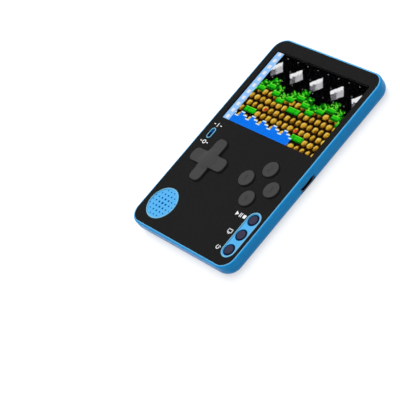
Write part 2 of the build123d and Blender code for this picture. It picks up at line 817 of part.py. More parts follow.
with BuildPart() as speaker_basket:
    with BuildSketch(Plane.XY.offset(speaker_base)):
        with Locations((speaker_x, speaker_y)):
            Circle(speaker_radius)
    extrude(amount=speaker_height)
    with BuildSketch(Plane.XY.offset(speaker_top)):
        with Locations((speaker_x, speaker_y)):
            Circle(cone_radius)
    extrude(amount=-2 * speaker_cone_drop, mode=Mode.SUBTRACT)
save(speaker_basket, "speaker_basket")

with BuildPart() as speaker_cone:
    with BuildSketch(Plane.XY.offset(speaker_top - speaker_cone_drop - speaker_cone_thickness)):
        with Locations((speaker_x, speaker_y)):
            Circle(cone_radius - bond_gap)
    extrude(amount=speaker_cone_thickness)
    with BuildSketch(Plane.XY.offset(speaker_top - speaker_cone_drop)):
        with Locations((speaker_x, speaker_y)):
            Circle(speaker_cap_radius)
    extrude(amount=speaker_cone_thickness)
save(speaker_cone, "speaker_cone")

speaker_lead_z = board_base + lead_radius
with BuildPart() as speaker_leads:
    with BuildSketch(Plane.YZ.offset(speaker_x + speaker_radius)):
        with Locations((speaker_y, speaker_lead_z)):
            with GridLocations(lead_pitch, 0, 2, 1):
                Circle(lead_radius)
    extrude(amount=speaker_cut_radius - speaker_radius)
save(speaker_leads, "speaker_leads")


def save_screws(name, places, base, head_radius, head_height, head_end_radius, radius, length):
    """Build one screw per place, head at the base level and shank upward, and save them as one node."""
    with BuildPart() as piece:
        for place in places:
            with BuildSketch(Plane.XY.offset(base)):
                with Locations(place):
                    Circle(head_radius)
            with BuildSketch(Plane.XY.offset(base + head_height)):
                with Locations(place):
                    Circle(head_end_radius)
            loft()
            with BuildSketch(Plane.XY.offset(base)):
                with Locations(place):
                    Circle(radius)
            extrude(amount=length)
            with BuildSketch(Plane.XY.offset(base)):
                with Locations(place):
                    Rectangle(cross_width, cross_length)
                    Rectangle(cross_length, cross_width)
            extrude(amount=cross_depth, mode=Mode.SUBTRACT)
    save(piece, name)


save_screws("back_screws", boss_places, screw_sink, screw_head_radius, screw_head_height,
            screw_radius, screw_radius, screw_length)
save_screws("board_screws", board_screw_places, board_base - board_screw_head_height,
            board_screw_head_radius, board_screw_head_height, board_screw_head_radius,
            board_screw_radius, board_screw_head_height + board_thickness + board_screw_bite)
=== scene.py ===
"""Dress the handheld game console and set it up for its studio picture.

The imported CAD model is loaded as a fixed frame. This script gives every node its finish, adds
the pieces that are too fine for the CAD model (the lit picture, the printed marks and the port's
contacts), and places the floor, the lights and the camera.
"""

import logging
import math
from dataclasses import dataclass, field
from enum import Enum

import bpy
from mathutils import Matrix, Vector

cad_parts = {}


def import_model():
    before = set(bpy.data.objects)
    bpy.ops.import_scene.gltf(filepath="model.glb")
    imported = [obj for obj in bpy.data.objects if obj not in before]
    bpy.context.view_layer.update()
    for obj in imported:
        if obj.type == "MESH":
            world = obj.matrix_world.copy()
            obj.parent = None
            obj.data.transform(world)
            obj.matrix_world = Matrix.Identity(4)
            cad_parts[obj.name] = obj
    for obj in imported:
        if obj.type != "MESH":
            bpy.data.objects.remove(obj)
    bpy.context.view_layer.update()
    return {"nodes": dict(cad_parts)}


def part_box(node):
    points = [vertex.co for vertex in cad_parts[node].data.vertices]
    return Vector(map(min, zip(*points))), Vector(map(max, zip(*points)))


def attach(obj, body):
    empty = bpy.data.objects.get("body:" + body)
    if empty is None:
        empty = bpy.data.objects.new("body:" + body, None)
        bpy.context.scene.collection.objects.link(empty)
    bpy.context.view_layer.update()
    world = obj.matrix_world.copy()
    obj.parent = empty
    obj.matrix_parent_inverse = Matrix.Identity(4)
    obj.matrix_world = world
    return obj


LOG = logging.getLogger("console")
MM = 0.001

Colour = tuple[float, float, float]
Point = tuple[float, float, float]


def linear(red: int, green: int, blue: int) -> Colour:
    """Turn a colour written as eight-bit screen values into scene-linear values.

    Args:
        red: red value from 0 to 255.
        green: green value from 0 to 255.
        blue: blue value from 0 to 255.

    Returns:
        The three linear values from 0 to 1.
    """
    shares = [value / 255 for value in (red, green, blue)]
    return tuple(s / 12.92 if s <= 0.04045 else ((s + 0.055) / 1.055) ** 2.4 for s in shares)


# Shared shader node groups


BRUSH_STRETCH = 0.06
SHINE_PATCHES_PER_METRE = 140.0
TONE_PATCHES_PER_METRE = 90.0
SMUDGES_PER_METRE = 60.0

class Texture(Enum):
    """The surface textures that the finishes choose from."""

    MOULDED = "moulded"
    POLISHED = "polished"
    BRUSHED = "brushed"
    WOVEN = "woven"


class ShaderGroups:
    """Builds the shared node groups once and hands them out by name."""

    def __init__(self) -> None:
        """Build every group."""
        self.textures = {texture: self._texture(texture) for texture in Texture}
        self.tone = self._tone_drift()
        self.handling = self._handling_marks()
        self.edge_highlight = self._painted_edge_highlight()

    @staticmethod
    def _new_group(
        name: str, inputs: dict[str, str], outputs: dict[str, str]
    ) -> tuple[bpy.types.NodeTree, bpy.types.Node, bpy.types.Node]:
        """Start a shader group with named sockets.

        Args:
            name: the group's name.
            inputs: socket name to socket type, without the NodeSocket prefix.
            outputs: the same for the outputs.

        Returns:
            The group, its input node and its output node.
        """
        group = bpy.data.node_groups.new(name, "ShaderNodeTree")
        for direction, sockets in (("INPUT", inputs), ("OUTPUT", outputs)):
            for socket, kind in sockets.items():
                group.interface.new_socket(
                    socket, in_out=direction, socket_type="NodeSocket" + kind
                )
        return group, group.nodes.new("NodeGroupInput"), group.nodes.new("NodeGroupOutput")

    def _texture(self, texture: Texture) -> bpy.types.NodeTree:
        """Build one surface texture: a height for the bump and a share for the roughness.

        Args:
            texture: which texture to build.

        Returns:
            The group with a Height and a Shine output.
        """
        group, source, sink = self._new_group(
            f"texture_{texture.value}",
            {"Vector": "Vector", "Grains per metre": "Float"},
            {"Height": "Float", "Shine": "Float"},
        )
        nodes, link = group.nodes, group.links.new
        stretch = nodes.new("ShaderNodeMapping")
        link(source.outputs["Vector"], stretch.inputs["Vector"])
        if texture is Texture.BRUSHED:
            stretch.inputs["Scale"].default_value = (1.0, BRUSH_STRETCH, 1.0)
        noise = nodes.new("ShaderNodeTexNoise")
        noise.inputs["Detail"].default_value = 4.0 if texture is Texture.MOULDED else 2.0
        noise.inputs["Roughness"].default_value = 0.6
        link(stretch.outputs["Vector"], noise.inputs["Vector"])
        link(source.outputs["Grains per metre"], noise.inputs["Scale"])
        height = noise.outputs["Fac"]
        if texture is Texture.WOVEN:
            waves = []
            for direction in ("X", "Y"):
                wave = nodes.new("ShaderNodeTexWave")
                wave.bands_direction = direction
                link(stretch.outputs["Vector"], wave.inputs["Vector"])
                link(source.outputs["Grains per metre"], wave.inputs["Scale"])
                waves.append(wave.outputs["Fac"])
            weave = nodes.new("ShaderNodeMath")
            weave.operation = "MAXIMUM"
            link(waves[0], weave.inputs[0])
            link(waves[1], weave.inputs[1])
            height = weave.outputs["Value"]
        broad = nodes.new("ShaderNodeTexNoise")
        broad.inputs["Scale"].default_value = SHINE_PATCHES_PER_METRE
        broad.inputs["Detail"].default_value = 3.0
        link(source.outputs["Vector"], broad.inputs["Vector"])
        link(height, sink.inputs["Height"])
        link(broad.outputs["Fac"], sink.inputs["Shine"])
        return group

    def _tone_drift(self) -> bpy.types.NodeTree:
        """Build the slow drift of a moulding's colour across its surface.

        Returns:
            The group, whose Colour output is the drifting colour.
        """
        group, source, sink = self._new_group(
            "tone_drift",
            {"Vector": "Vector", "Colour": "Color", "Amount": "Float"},
            {"Colour": "Color"},
        )
        nodes, link = group.nodes, group.links.new
        noise = nodes.new("ShaderNodeTexNoise")
        noise.inputs["Scale"].default_value = TONE_PATCHES_PER_METRE
        noise.inputs["Detail"].default_value = 5.0
        link(source.outputs["Vector"], noise.inputs["Vector"])
        spread = nodes.new("ShaderNodeMapRange")
        spread.inputs["From Min"].default_value = 0.3
        spread.inputs["From Max"].default_value = 0.7
        spread.inputs["To Min"].default_value = -1.0
        spread.inputs["To Max"].default_value = 1.0
        link(noise.outputs["Fac"], spread.inputs["Value"])
        gain = nodes.new("ShaderNodeMath")
        gain.operation = "MULTIPLY_ADD"
        gain.inputs[2].default_value = 1.0
        link(spread.outputs["Result"], gain.inputs[0])
        link(source.outputs["Amount"], gain.inputs[1])
        tint = nodes.new("ShaderNodeHueSaturation")
        link(gain.outputs["Value"], tint.inputs["Value"])
        link(source.outputs["Colour"], tint.inputs["Color"])
        link(tint.outputs["Color"], sink.inputs["Colour"])
        return group

    def _handling_marks(self) -> bpy.types.NodeTree:
        """Build the mask of the faint smudges that handling leaves.

        Returns:
            The group, whose Mask output is 0 on a clean surface.
        """
        group, source, sink = self._new_group(
            "handling_marks",
            {"Vector": "Vector", "Amount": "Float"},
            {"Mask": "Float"},
        )
        nodes, link = group.nodes, group.links.new
        smudge = nodes.new("ShaderNodeTexNoise")
        smudge.inputs["Scale"].default_value = SMUDGES_PER_METRE
        smudge.inputs["Detail"].default_value = 2.0
        smudge.inputs["Distortion"].default_value = 1.5
        link(source.outputs["Vector"], smudge.inputs["Vector"])
        patch = nodes.new("ShaderNodeMapRange")
        patch.interpolation_type = "SMOOTHSTEP"
        patch.inputs["From Min"].default_value = 0.5
        patch.inputs["From Max"].default_value = 0.75
        link(smudge.outputs["Fac"], patch.inputs["Value"])
        scaled = nodes.new("ShaderNodeMath")
        scaled.operation = "MULTIPLY"
        link(patch.outputs["Result"], scaled.inputs[0])
        link(source.outputs["Amount"], scaled.inputs[1])
        link(scaled.outputs["Value"], sink.inputs["Mask"])
        return group

    def _painted_edge_highlight(self) -> bpy.types.NodeTree:
        """Build the painted highlight on raised edges: a paler colour blended in by height,
        standing in for the sheen that light puts on them.

        Returns:
            The group, which blends to the pale colour from one height to another.
        """
        group, source, sink = self._new_group(
            "painted_edge_highlight",
            {
                "Vector": "Vector", "Colour": "Color", "Pale": "Color",
                "From": "Float", "To": "Float",
            },
            {"Colour": "Color"},
        )
        nodes, link = group.nodes, group.links.new
        # Painted highlight: the colour turns paler with height alone, not with light.
        height = nodes.new("ShaderNodeSeparateXYZ")
        link(source.outputs["Vector"], height.inputs["Vector"])
        rise = nodes.new("ShaderNodeMapRange")
        rise.interpolation_type = "SMOOTHSTEP"
        link(height.outputs["Z"], rise.inputs["Value"])
        link(source.outputs["From"], rise.inputs["From Min"])
        link(source.outputs["To"], rise.inputs["From Max"])
        blend = nodes.new("ShaderNodeMix")
        blend.data_type = "RGBA"
        link(rise.outputs["Result"], blend.inputs["Factor"])
        link(source.outputs["Colour"], blend.inputs["A"])
        link(source.outputs["Pale"], blend.inputs["B"])
        link(blend.outputs["Result"], sink.inputs["Colour"])
        return group


# Finishes


@dataclass(frozen=True)
class Finish:
    """One material: its colour, its shine and the texture of its surface.

    Attributes:
        name: the material's name.
        colour: its scene-linear colour.
        roughness: its mean roughness from 0 to 1.
        texture: which texture its surface has.
        grains_per_metre: how fine that texture is.
        grain_height: how far the texture stands out, in metres.
        drift: how far the colour's brightness wanders, as a share.
        handling: how much smudges add to the roughness.
        metallic: 1 for bare metal.
        specular: how strongly it reflects, where 0.5 is ordinary plastic.
        coat: weight of a clear coat.
        transmission: 1 for clear material.
        ior: index of refraction.
        painted_edge_colour: a paler colour painted on its raised edges as a highlight, if it has
            one.
        edge_from: height at which the pale colour starts.
        edge_to: height from which it is complete.
    """

    name: str
    colour: Colour
    roughness: float
    texture: Texture = Texture.MOULDED
    grains_per_metre: float = 5000.0
    grain_height: float = 0.000012
    drift: float = 0.04
    handling: float = 0.05
    metallic: float = 0.0
    specular: float = 0.5
    coat: float = 0.0
    transmission: float = 0.0
    ior: float = 1.5
    painted_edge_colour: Colour | None = None
    edge_from: float = 0.0
    edge_to: float = 0.0

    def make(self, groups: ShaderGroups) -> bpy.types.Material:
        """Build the material's node tree.

        Args:
            groups: the shared node groups.

        Returns:
            The finished material.
        """
        material = bpy.data.materials.new(self.name)
        material.use_nodes = True
        material.diffuse_color = (*self.colour, 1.0)
        nodes, link = material.node_tree.nodes, material.node_tree.links.new
        shader = nodes["Principled BSDF"]
        shader.inputs["Metallic"].default_value = self.metallic
        shader.inputs["Specular IOR Level"].default_value = self.specular
        shader.inputs["Coat Weight"].default_value = self.coat
        shader.inputs["Coat Roughness"].default_value = 0.12
        shader.inputs["Transmission Weight"].default_value = self.transmission
        shader.inputs["IOR"].default_value = self.ior
        place = nodes.new("ShaderNodeTexCoord").outputs["Object"]
        tone = nodes.new("ShaderNodeGroup")
        tone.node_tree = groups.tone
        tone.inputs["Colour"].default_value = (*self.colour, 1.0)
        tone.inputs["Amount"].default_value = self.drift
        link(place, tone.inputs["Vector"])
        colour = tone.outputs["Colour"]
        # Painted highlight: the raised edges blend to a paler colour, by height.
        if self.painted_edge_colour is not None:
            edge_highlight = nodes.new("ShaderNodeGroup")
            edge_highlight.node_tree = groups.edge_highlight
            edge_highlight.inputs["Pale"].default_value = (*self.painted_edge_colour, 1.0)
            edge_highlight.inputs["From"].default_value = self.edge_from
            edge_highlight.inputs["To"].default_value = self.edge_to
            link(place, edge_highlight.inputs["Vector"])
            link(colour, edge_highlight.inputs["Colour"])
            colour = edge_highlight.outputs["Colour"]
        link(colour, shader.inputs["Base Color"])
        texture = nodes.new("ShaderNodeGroup")
        texture.node_tree = groups.textures[self.texture]
        texture.inputs["Grains per metre"].default_value = self.grains_per_metre
        link(place, texture.inputs["Vector"])
        marks = nodes.new("ShaderNodeGroup")
        marks.node_tree = groups.handling
        marks.inputs["Amount"].default_value = self.handling
        link(place, marks.inputs["Vector"])
        shine = nodes.new("ShaderNodeMapRange")
        shine.inputs["To Min"].default_value = self.roughness * 0.85
        shine.inputs["To Max"].default_value = min(1.0, self.roughness * 1.15)
        link(texture.outputs["Shine"], shine.inputs["Value"])
        worn = nodes.new("ShaderNodeMath")
        worn.use_clamp = True
        link(shine.outputs["Result"], worn.inputs[0])
        link(marks.outputs["Mask"], worn.inputs[1])
        link(worn.outputs["Value"], shader.inputs["Roughness"])
        bump = nodes.new("ShaderNodeBump")
        bump.inputs["Strength"].default_value = 0.5
        bump.inputs["Distance"].default_value = self.grain_height
        link(texture.outputs["Height"], bump.inputs["Height"])
        link(bump.outputs["Normal"], shader.inputs["Normal"])
        return material


# The shell's lip and raised rims get a painted highlight: a paler blue from 6.0 mm upwards.
BLUE_SHELL = Finish(
    "blue_shell", linear(2, 162, 242), 0.34, grains_per_metre=6000.0, drift=0.03, specular=0.22,
    painted_edge_colour=linear(118, 184, 214), edge_from=6.0 * MM, edge_to=6.3 * MM,
)
PANEL_BLACK = Finish(
    "panel_black", linear(22, 22, 22), 0.16, Texture.POLISHED, grains_per_metre=300.0,
    grain_height=0.000002, drift=0.03, handling=0.03, specular=0.2,
)
WINDOW_CLEAR = Finish(
    "window_clear", linear(255, 255, 255), 0.2, Texture.POLISHED, grains_per_metre=200.0,
    grain_height=0.000001, drift=0.0, handling=0.0, transmission=1.0, ior=1.05,
)
PAD_BLACK = Finish(
    "pad_black", linear(61, 61, 61), 0.6, grains_per_metre=7000.0, drift=0.05, specular=0.2,
)
BUTTON_BLACK = Finish(
    "button_black", linear(60, 60, 60), 0.5, grains_per_metre=7000.0, drift=0.06, specular=0.2,
)
BUTTON_PURPLE = Finish(
    "button_purple", linear(52, 48, 71), 0.45, grains_per_metre=7000.0, drift=0.12, specular=0.18,
)
KNOB_NAVY = Finish("knob_navy", linear(0, 4, 30), 0.5, grains_per_metre=8000.0, specular=0.02)
PRINT_WHITE = Finish(
    "print_white", linear(236, 238, 240), 0.55, grains_per_metre=9000.0, grain_height=0.000004,
)
PORT_METAL = Finish(
    "port_metal", linear(96, 100, 108), 0.3, Texture.BRUSHED, grains_per_metre=4000.0,
    grain_height=0.000006, metallic=1.0,
)
PORT_GOLD = Finish(
    "port_gold", linear(225, 180, 90), 0.25, Texture.POLISHED, grains_per_metre=3000.0,
    grain_height=0.000002, metallic=1.0,
)
STEEL = Finish(
    "steel", linear(170, 170, 172), 0.32, Texture.BRUSHED, grains_per_metre=4000.0,
    grain_height=0.000008, metallic=1.0,
)
EPOXY_BLACK = Finish(
    "epoxy_black", linear(12, 13, 18), 0.3, Texture.POLISHED, grains_per_metre=500.0,
    grain_height=0.00001,
)
BOARD_GREEN = Finish(
    "board_green", linear(16, 92, 48), 0.35, Texture.WOVEN, grains_per_metre=900.0,
    grain_height=0.00001, coat=0.4,
)
SILICONE = Finish("silicone", linear(150, 150, 152), 0.7, grains_per_metre=3000.0)
FRAME_WHITE = Finish("frame_white", linear(222, 222, 218), 0.5)
FOAM_BLACK = Finish(
    "foam_black", linear(20, 20, 20), 0.9, grains_per_metre=2500.0, grain_height=0.00004,
)
FILM_AMBER = Finish(
    "film_amber", linear(190, 110, 30), 0.3, Texture.POLISHED, grains_per_metre=800.0,
    grain_height=0.000003,
)
SOCKET_IVORY = Finish("socket_ivory", linear(226, 220, 196), 0.45)
BATTERY_FOIL = Finish(
    "battery_foil", linear(200, 202, 206), 0.38, Texture.POLISHED, grains_per_metre=400.0,
    grain_height=0.00004, metallic=0.9,
)
WIRE_RED = Finish("wire_red", linear(180, 24, 24), 0.45)
CONE_FILM = Finish(
    "cone_film", linear(60, 60, 62), 0.4, Texture.POLISHED, grains_per_metre=900.0,
    grain_height=0.00001,
)
MESH_CLOTH = Finish(
    "mesh_cloth", linear(10, 12, 16), 0.85, Texture.WOVEN, grains_per_metre=3500.0,
    grain_height=0.00003,
)
GLASS_DARK = Finish(
    "glass_dark", linear(8, 9, 12), 0.12, Texture.POLISHED, grains_per_metre=300.0,
    grain_height=0.000002,
)


# Mesh helpers


def deselect_all() -> None:
    """Deselect every object, because an operator acts on all that is selected."""
    bpy.ops.object.select_all(action="DESELECT")


def settle(piece: bpy.types.Object, name: str) -> bpy.types.Object:
    """Apply the piece's place to its mesh and name it.

    Args:
        piece: the active, selected object.
        name: the piece's name.

    Returns:
        The same piece, at the origin and unturned.
    """
    bpy.ops.object.transform_apply(location=True, rotation=True, scale=True)
    piece.name = name
    piece.data.name = name
    return piece


def join_pieces(pieces: list[bpy.types.Object], name: str) -> bpy.types.Object:
    """Join several meshes into one piece.

    Args:
        pieces: the meshes, of which the first keeps its object.
        name: the joined piece's name.

    Returns:
        The joined piece.
    """
    deselect_all()
    for piece in pieces:
        piece.select_set(True)
    bpy.context.view_layer.objects.active = pieces[0]
    bpy.ops.object.join()
    return settle(pieces[0], name)


@dataclass(frozen=True)
class Pad:
    """Makes the flat raised shapes that printed marks are built from."""

    thickness: float
    base: float
    rounding_share: float = 0.4
    ring_steps: int = 32
    weld_distance: float = 1e-7

    def polygon(
        self, x: float, y: float, radius: float, sides: int, turn: float = 0.0
    ) -> bpy.types.Object:
        """Make a regular shape with slightly eased edges.

        Args:
            x: centre along X.
            y: centre along Y.
            radius: radius of its corners.
            sides: how many corners it has.
            turn: angle about its centre, in degrees.

        Returns:
            The shape.
        """
        deselect_all()
        bpy.ops.mesh.primitive_cylinder_add(
            vertices=sides, radius=radius, depth=self.thickness,
            location=(x, y, self.base + self.thickness / 2), rotation=(0, 0, math.radians(turn)),
        )
        piece = bpy.context.object
        bpy.ops.object.transform_apply(location=True, rotation=True, scale=True)
        self._ease(piece)
        return piece

    def bar(self, x: float, y: float, width: float, height: float) -> bpy.types.Object:
        """Make a rectangular bar.

        Args:
            x: centre along X.
            y: centre along Y.
            width: size along X.
            height: size along Y.

        Returns:
            The bar.
        """
        deselect_all()
        bpy.ops.mesh.primitive_cube_add(size=1, location=(x, y, self.base + self.thickness / 2))
        piece = bpy.context.object
        piece.scale = (width, height, self.thickness)
        bpy.ops.object.transform_apply(location=True, rotation=True, scale=True)
        self._ease(piece)
        return piece

    def ring(
        self, x: float, y: float, radius: float, stroke: float, gap_degrees: float = 0.0
    ) -> bpy.types.Object:
        """Make a flat ring, open on its right side where a gap is asked for.

        Args:
            x: centre along X.
            y: centre along Y.
            radius: outer radius.
            stroke: width of the ring.
            gap_degrees: angle left open, centred on +X.

        Returns:
            The ring.
        """
        deselect_all()
        bpy.ops.mesh.primitive_plane_add(size=1, location=(0, 0, 0))
        piece = bpy.context.object
        piece.scale = (stroke, self.thickness, 1)
        start = math.radians(gap_degrees / 2)
        centre = Vector((x, y, self.base + self.thickness / 2))
        arm = Vector((math.cos(start), math.sin(start), 0)) * (radius - stroke / 2)
        piece.rotation_euler = (math.radians(90), 0, start)
        piece.location = centre + arm
        bpy.ops.object.transform_apply(location=True, rotation=True, scale=True)
        bpy.ops.object.mode_set(mode="EDIT")
        bpy.ops.mesh.select_all(action="SELECT")
        bpy.ops.mesh.spin(
            steps=self.ring_steps, angle=math.radians(360 - gap_degrees),
            center=centre, axis=(0, 0, 1),
        )
        bpy.ops.mesh.select_all(action="SELECT")
        bpy.ops.mesh.remove_doubles(threshold=self.weld_distance)
        if gap_degrees:
            bpy.ops.mesh.select_all(action="DESELECT")
            bpy.ops.mesh.select_non_manifold()
            bpy.ops.mesh.edge_face_add()
        bpy.ops.mesh.select_all(action="SELECT")
        bpy.ops.mesh.normals_make_consistent(inside=False)
        bpy.ops.object.mode_set(mode="OBJECT")
        return piece

    def _ease(self, piece: bpy.types.Object) -> None:
        """Round the piece's edges a little.

        Args:
            piece: the active piece.
        """
        rounding = piece.modifiers.new("rounding", "BEVEL")
        rounding.width = self.thickness * self.rounding_share
        rounding.segments = 2
        bpy.ops.object.modifier_apply(modifier=rounding.name)


# The console's sub-assemblies


@dataclass
class Console:
    """What every sub-assembly needs.

    Attributes:
        nodes: the CAD nodes by name.
        groups: the shared node groups.
        made: the materials made so far, by the name of their finish.
    """

    nodes: dict[str, bpy.types.Object]
    groups: ShaderGroups
    made: dict[str, bpy.types.Material] = field(default_factory=dict)

    def finish(self, choice: Finish) -> bpy.types.Material:
        """Return the material of a finish, made on first use.

        Args:
            choice: the finish.

        Returns:
            Its material.
        """
        if choice.name not in self.made:
            self.made[choice.name] = choice.make(self.groups)
        return self.made[choice.name]

    def dress(self, choice: Finish, *names: str) -> None:
        """Give CAD nodes a finish.

        Args:
            choice: the finish.
            names: the nodes.
        """
        for name in names:
            node = self.nodes[name]
            if not node.material_slots:
                node.data.materials.append(None)
            for slot in node.material_slots:
                slot.material = self.finish(choice)
            LOG.info("dressed %s as %s", name, choice.name)

    def place(self, piece: bpy.types.Object, choice: Finish, body: str, slot: str) -> None:
        """Give a new piece its finish and the body that it rides on.

        Args:
            piece: the piece.
            choice: its finish.
            body: the CAD body that carries it.
            slot: the record's material slot that it belongs to; not used.
        """
        piece.data.materials.clear()
        piece.data.materials.append(self.finish(choice))
        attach(piece, body)
        LOG.info("placed %s on %s", piece.name, body)


def middle(node: str) -> Vector:
    """Return the middle of a CAD node's box."""
    low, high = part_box(node)
    return (low + high) / 2


@dataclass
class Housing:
    """The blue shell, its cover, the black panel and the screws."""

    console: Console

    def build(self) -> None:
        """Dress the housing's nodes."""
        self.console.dress(BLUE_SHELL, "front_shell", "back_cover")
        self.console.dress(PANEL_BLACK, "front_panel")
        self.console.dress(STEEL, "back_screws", "board_screws")


class Motif(Enum):
    """What a cell of the lit picture can show, with its screen colour."""

    NIGHT = (2, 2, 3)
    SPARK = (214, 214, 214)
    CRYSTAL = (232, 232, 234)
    CRYSTAL_SIDE = (176, 176, 180)
    CRYSTAL_SHADE = (112, 112, 118)
    HEDGE = (34, 196, 22)
    HEDGE_LIGHT = (120, 232, 60)
    HEDGE_DEEP = (16, 134, 14)
    HEDGE_SHADE = (6, 70, 8)
    COIN = (206, 164, 44)
    COIN_LIGHT = (240, 212, 110)
    COIN_SHADE = (112, 74, 14)
    EARTH = (20, 11, 4)
    LAKE = (14, 116, 236)
    FOAM = (206, 232, 250)
    RAIL = (148, 198, 250)
    BERRY = (206, 54, 40)


LEAF_TONES = (
    Motif.HEDGE_LIGHT, Motif.HEDGE, Motif.HEDGE_DEEP, Motif.HEDGE_SHADE, Motif.HEDGE_SHADE,
    Motif.NIGHT, Motif.HEDGE_DEEP,
)


@dataclass(frozen=True)
class Scenery:
    """The picture's design on a grid of square cells.

    Lengths are in cells, and shares are of the whole height or width. A rise is a share of the
    tile, and what ends in "every" says that one in so many is of that kind.

    Attributes:
        columns: how many cells the picture has across.
        rows: how many it has down.
        tile: width of a slab and of a step in the hedge's outline.
        hedge_share: where the highest hedge starts.
        bush_rounding: how deep and how wide a bush's corners are cut.
        shore_share: where the lake starts.
        wall_share: from here on, the wall reaches down to the picture's foot.
        crystal_light: how far a crystal's bright face stays from its middle.
        crystal_side: how far its middle face reaches below its middle.
        levels: how many levels of roughness the surfaces have.
        coin_face: radius of a coin's lit face.
        coin_narrow: how much the widest coin is squeezed sideways.
        coin_squeeze: how much more each narrower one is.
        coin_light: where a coin's bright part ends, measured down its slanted light.
        coin_shade: where its shaded part starts.
    """

    columns: int
    rows: int
    rail_width: int = 14
    rail_margin: int = 4
    rail_pitch: int = 12
    tile: int = 16
    hedge_share: float = 0.30
    hedge_steps: int = 4
    hedge_rise: float = 0.5
    leaf_depth: int = 12
    hedge_depth: int = 20
    bush_width: int = 8
    bush_rounding: int = 2
    slab_foot: int = 3
    spot_every: int = 9
    shore_share: float = 0.86
    shore_steps: int = 3
    shore_rise: float = 0.25
    wall_share: float = 0.72
    foam_depth: int = 2
    crystal_pitch: int = 44
    crystal_row: int = 26
    crystal_reach: int = 15
    crystal_light: int = 5
    crystal_side: int = 4
    spark_column: int = 5
    spark_row: int = 4
    spark_pitch: int = 18
    levels: int = 5
    coin_pitch: int = 12
    coin_radius: float = 5.35
    coin_face: float = 4.4
    coin_shapes: int = 4
    coin_narrow: float = 0.9
    coin_squeeze: float = 0.1
    coin_light: int = -3
    coin_shade: int = 4
    block_every: int = 13
    block_height: int = 10
    berry_every: int = 23
    berry_first: int = 4
    berry_margin: int = 3

    def motif(self, column: int, row: int) -> Motif:
        """Choose what one cell of the picture shows.

        Args:
            column: cell from the left.
            row: cell from the top.

        Returns:
            The motif of the cell.
        """
        if column < self.rail_width:
            return self._rail(column, row)
        step = column // self.tile % self.hedge_steps - self.hedge_steps // 2
        hedge_top = self.rows * self.hedge_share + self.tile * self.hedge_rise * abs(step)
        wave = column // (self.tile // 2) % self.shore_steps - 1
        shore = self.rows * self.shore_share + self.tile * self.shore_rise * wave
        if row < hedge_top:
            return self._night(column, row)
        if row < hedge_top + self.hedge_depth:
            return self._hedge(column, row - int(hedge_top))
        if row < shore or column > self.columns * self.wall_share:
            return self._coins(column, row)
        if row < shore + self.foam_depth:
            return Motif.FOAM
        return Motif.LAKE

    @staticmethod
    def _scatter(column: int, row: int, choices: int) -> int:
        """Return one of some numbers for a cell, in an uneven but fixed order."""
        return (column * 7919 + row * 10473 + column * row * 31) // 7 % choices

    def _rail(self, column: int, row: int) -> Motif:
        """Return the side rail's cell: pale, with a column of small squares."""
        inside = self.rail_margin <= column < self.rail_width - self.rail_margin
        beside = row % self.rail_pitch < self.rail_pitch // 2
        return Motif.CRYSTAL if inside and beside else Motif.RAIL

    def _night(self, column: int, row: int) -> Motif:
        """Choose a cell of the dark field: even sparks and a row of cut crystals.

        Args:
            column: cell from the left.
            row: cell from the top.

        Returns:
            The motif of the cell.
        """
        half = self.crystal_pitch // 2
        across = column % self.crystal_pitch - half
        down = row - self.crystal_row
        rough = self._scatter(column // 2, row, self.levels)
        if abs(across) + abs(down) < self.crystal_reach - rough // 3:
            if across + down < rough - self.crystal_light:
                return Motif.CRYSTAL
            if down - across < self.crystal_side - rough:
                return Motif.CRYSTAL_SIDE
            return Motif.CRYSTAL_SHADE if rough else Motif.NIGHT
        if column % half == self.spark_column and row % self.spark_pitch == self.spark_row:
            return Motif.SPARK
        return Motif.NIGHT

    def _hedge(self, column: int, depth: int) -> Motif:
        """Choose a cell of the hedge: rounded bushes in a stepped row, on slabs.

        Args:
            column: cell from the left.
            depth: cell below the hedge's upper edge.

        Returns:
            The motif of the cell.
        """
        bulge = abs(column % self.bush_width - self.bush_width // 2)
        if depth <= self.bush_rounding < bulge:
            return Motif.NIGHT
        if depth < self.leaf_depth:
            return LEAF_TONES[self._scatter(column // 2, depth // 2, len(LEAF_TONES))]
        return self._slab(column, depth - self.leaf_depth, self.hedge_depth - self.leaf_depth)

    def _slab(self, column: int, depth: int, height: int) -> Motif:
        """Choose a cell of a green slab: a light upper edge, a dark foot and dark joints.

        Args:
            column: cell from the left.
            depth: cell below the slab's upper edge.
            height: how many cells high the slab is.

        Returns:
            The motif of the cell.
        """
        if column % self.tile == self.tile - 1 or depth == height - 1:
            return Motif.NIGHT
        if depth == 0:
            return Motif.HEDGE_LIGHT
        spot = self._scatter(column, depth, self.spot_every) == 0
        return Motif.HEDGE_DEEP if spot or depth >= height - self.slab_foot else Motif.HEDGE

    def _coins(self, column: int, row: int) -> Motif:
        """Choose a cell of the wall: round coins in a brick bond, with green blocks between.

        Args:
            column: cell from the left.
            row: cell from the top.

        Returns:
            The motif of the cell.
        """
        pitch = self.coin_pitch
        line, down = divmod(row, pitch)
        index, across = divmod(column + pitch // 2 * (line % 2), pitch)
        if (index // 2 * 2 + line * 3) % self.block_every == 0:
            in_block = down < self.block_height
            return self._slab(column, down, self.block_height) if in_block else Motif.EARTH
        in_berry = all(self.berry_margin < at < pitch - self.berry_margin for at in (across, down))
        if in_berry and (index * 3 + line * 5) % self.berry_every == self.berry_first:
            return Motif.BERRY
        wear = self._scatter(index, line, self.coin_shapes)
        rough = self._scatter(column, row, self.levels)
        aside = across - (pitch - 1) / 2
        below = down - (pitch - 1) / 2
        distance = math.hypot(aside * (self.coin_narrow + self.coin_squeeze * wear), below)
        if distance > self.coin_radius:
            return Motif.EARTH
        if distance > self.coin_face:
            return Motif.COIN_SHADE
        turned = aside + below + rough - self.levels // 2
        if turned < self.coin_light - wear // 2:
            return Motif.COIN_LIGHT
        return Motif.COIN if turned < self.coin_shade - wear else Motif.COIN_SHADE


